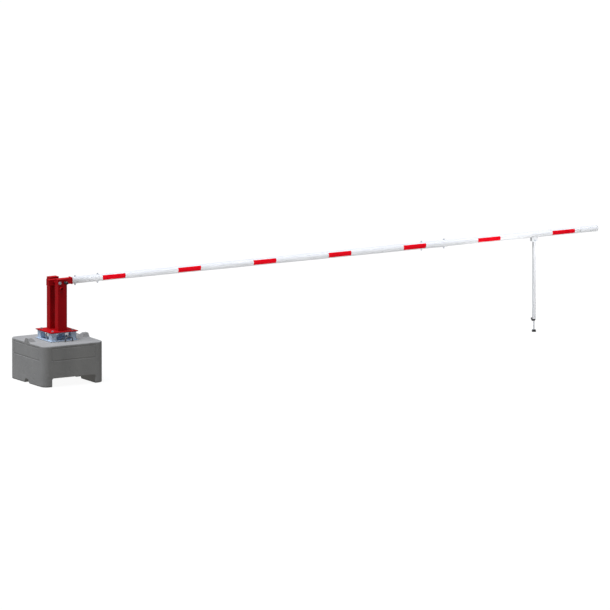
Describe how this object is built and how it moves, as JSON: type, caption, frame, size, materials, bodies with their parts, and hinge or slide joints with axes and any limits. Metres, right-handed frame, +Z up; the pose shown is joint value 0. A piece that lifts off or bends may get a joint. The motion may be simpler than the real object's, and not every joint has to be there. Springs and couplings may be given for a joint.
{
  "type": "parking barrier gate",
  "caption": "Hand-lifted barrier boom with a pendulum prop, pivoted between twin posts on a concrete ballast block.",
  "frame": {"origin": "middle of the ballast block's footprint, on the ground", "axes": "+X along the closed boom, +Z up, -Y towards the side with the lock and the index plunger"},
  "size_m": [7.6, 0.8, 1.199],
  "materials": {
    "concrete": "matte",
    "dark_steel": "satin",
    "black_steel": "satin",
    "galvanised_steel": "satin",
    "red_paint": "satin",
    "zinc_steel": "satin",
    "white_aluminium": "satin",
    "red_film": "satin",
    "black_plastic": "satin",
    "pale_plastic": "satin",
    "rubber": "matte"
  },
  "bodies": {
    "base": {"concrete_block": "concrete", "lifting_loops": "dark_steel", "anchor_studs": "zinc_steel", "m16_washers": "zinc_steel", "m16_nuts": "zinc_steel", "adapter_bottom_plate": "galvanised_steel", "adapter_legs": "galvanised_steel", "adapter_top_plate": "galvanised_steel", "base_plate": "red_paint", "base_bolts": "zinc_steel", "front_post": "red_paint", "back_post": "red_paint", "post_lids": "red_paint", "stop_blocks": "red_paint", "stop_pads": "rubber", "pivot_axle": "zinc_steel", "axle_washers": "zinc_steel", "axle_nut": "zinc_steel", "thrust_washers": "black_plastic", "plunger_housing": "black_steel", "plunger_spring": "zinc_steel", "lock_sleeve": "red_paint", "lock_case": "zinc_steel", "lock_screws": "black_steel", "gas_spring_bracket": "red_paint", "gas_spring_foot_pin": "zinc_steel"},
    "boom": {"arm_tube": "red_paint", "arm_tail_cap": "red_paint", "pivot_sleeve": "red_paint", "arm_end_plate": "red_paint", "boom_spigot": "red_paint", "boom_main_tube": "white_aluminium", "boom_outer_tube": "white_aluminium", "boom_end_cap": "pale_plastic", "reflective_bands": "red_film", "boom_bolts": "zinc_steel", "boom_saddles": "pale_plastic", "boom_washers": "zinc_steel", "boom_nuts": "zinc_steel", "gas_spring_lugs": "red_paint", "leg_bracket": "white_aluminium", "leg_bolt": "zinc_steel", "leg_washers": "pale_plastic", "leg_nut": "zinc_steel"},
    "gas_spring_body": {"gas_spring_cylinder": "dark_steel", "gas_spring_guide": "black_plastic"},
    "gas_spring_piston": {"gas_spring_rod": "zinc_steel", "gas_spring_eye": "zinc_steel", "gas_spring_head_pin": "zinc_steel"},
    "leg": {"leg_tube": "white_aluminium", "leg_bush": "pale_plastic", "leg_end_plug": "black_plastic"},
    "lever": {"clamping_lever": "dark_steel"},
    "foot": {"spindle": "zinc_steel", "rubber_foot": "rubber"},
    "plunger": {"plunger_pin": "zinc_steel", "plunger_knob": "black_plastic"},
    "lock_key_core": {"lock_core": "black_steel"},
    "lock_slide": {"lock_bolt": "zinc_steel"}
  },
  "joints": [
    {"name": "boom_lift", "type": "hinge", "parent": "base", "child": "boom", "pos_m": [-0.038, 0, 1.151], "axis": [0, -1, 0], "range_deg": [0, 90]},
    {"name": "gas_spring_tilt", "type": "hinge", "parent": "base", "child": "gas_spring_body", "pos_m": [0.005, 0, 0.645], "axis": [0, 1, 0], "range_deg": [-1, 6]},
    {"name": "gas_spring_stroke", "type": "slide", "parent": "gas_spring_body", "child": "gas_spring_piston", "axis": [0.0165, 0, 0.9999], "range_m": [-0.002, 0.14]},
    {"name": "leg_swing", "type": "hinge", "parent": "boom", "child": "leg", "pos_m": [6.355, 0, 1.078], "axis": [0, 1, 0], "range_deg": [-88, 88]},
    {"name": "lever_turn", "type": "hinge", "parent": "leg", "child": "lever", "pos_m": [6.355, 0, 0.13], "axis": [0, 0, 1], "continuous": true},
    {"name": "foot_height", "type": "slide", "parent": "leg", "child": "foot", "axis": [0, 0, 1], "range_m": [-0.04, 0.09]},
    {"name": "plunger_push", "type": "slide", "parent": "base", "child": "plunger", "axis": [0, 1, 0], "range_m": [0, 0.0155]},
    {"name": "lock_turn", "type": "hinge", "parent": "base", "child": "lock_key_core", "pos_m": [-0.024, -0.135, 1.086], "axis": [0, 1, 0], "range_deg": [-2, 92]},
    {"name": "lock_throw", "type": "slide", "parent": "base", "child": "lock_slide", "axis": [0, 1, 0], "range_m": [0, 0.022]}
  ],
  "couplings": [
    {"joint": "gas_spring_tilt", "follows": "boom_lift", "ratio": 0.034073},
    {"joint": "gas_spring_stroke", "follows": "boom_lift", "m_per_rad": 0.084867},
    {"joint": "lock_turn", "follows": "lock_throw", "rad_per_m": 71.4}
  ]
}
